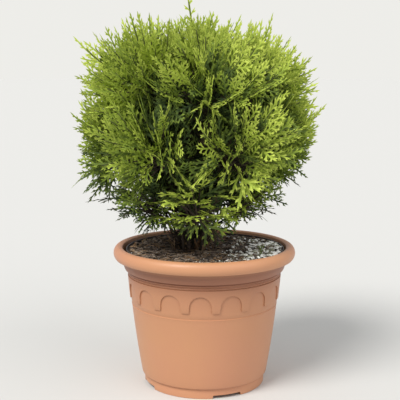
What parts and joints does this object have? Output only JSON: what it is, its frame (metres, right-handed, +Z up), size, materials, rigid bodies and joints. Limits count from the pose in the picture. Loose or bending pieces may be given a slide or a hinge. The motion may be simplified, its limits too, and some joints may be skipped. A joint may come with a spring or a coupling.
{
  "type": "potted thuja shrub",
  "caption": "Globe-shaped evergreen thuja with flattened feathery sprays, in a dark nursery pot set inside a round tapered planter with a rolled rim and a moulded band of arches.",
  "frame": {"origin": "on the planter's axis, on the surface that it stands on", "axes": "+Z up along the planter's axis, -Y towards the front, +X to the right seen from the front"},
  "size_m": [0.3625, 0.3501, 0.553],
  "materials": {
    "planter": "satin terracotta-coloured moulded plastic",
    "nursery_plastic": "thin dark brown moulded plastic",
    "compost": "damp compost with bark fibres and white perlite",
    "bark": "thin fibrous grey-brown bark",
    "foliage": "flattened sprays of scale leaves, yellow-green at the tips"
  },
  "bodies": {
    "root": {"pot": "planter", "nursery_pot": "nursery_plastic", "soil": "compost", "trunk": "bark", "bough_high_1": "bark", "bough_high_2": "bark", "bough_high_3": "bark", "bough_high_4": "bark", "bough_high_5": "bark", "bough_low_1": "bark", "bough_low_2": "bark", "bough_low_3": "bark", "bough_low_4": "bark", "bough_low_5": "bark", "bough_low_6": "bark", "bough_mid_1": "bark", "bough_mid_2": "bark", "bough_mid_3": "bark", "bough_mid_4": "bark", "bough_mid_5": "bark", "bough_mid_6": "bark", "foliage_high_1": "foliage", "foliage_high_2": "foliage", "foliage_high_3": "foliage", "foliage_high_4": "foliage", "foliage_high_5": "foliage", "foliage_low_1": "foliage", "foliage_low_2": "foliage", "foliage_low_3": "foliage", "foliage_low_4": "foliage", "foliage_low_5": "foliage", "foliage_low_6": "foliage", "foliage_mid_1": "foliage", "foliage_mid_2": "foliage", "foliage_mid_3": "foliage", "foliage_mid_4": "foliage", "foliage_mid_5": "foliage", "foliage_mid_6": "foliage", "foliage_top": "foliage"}
  },
  "joints": []
}
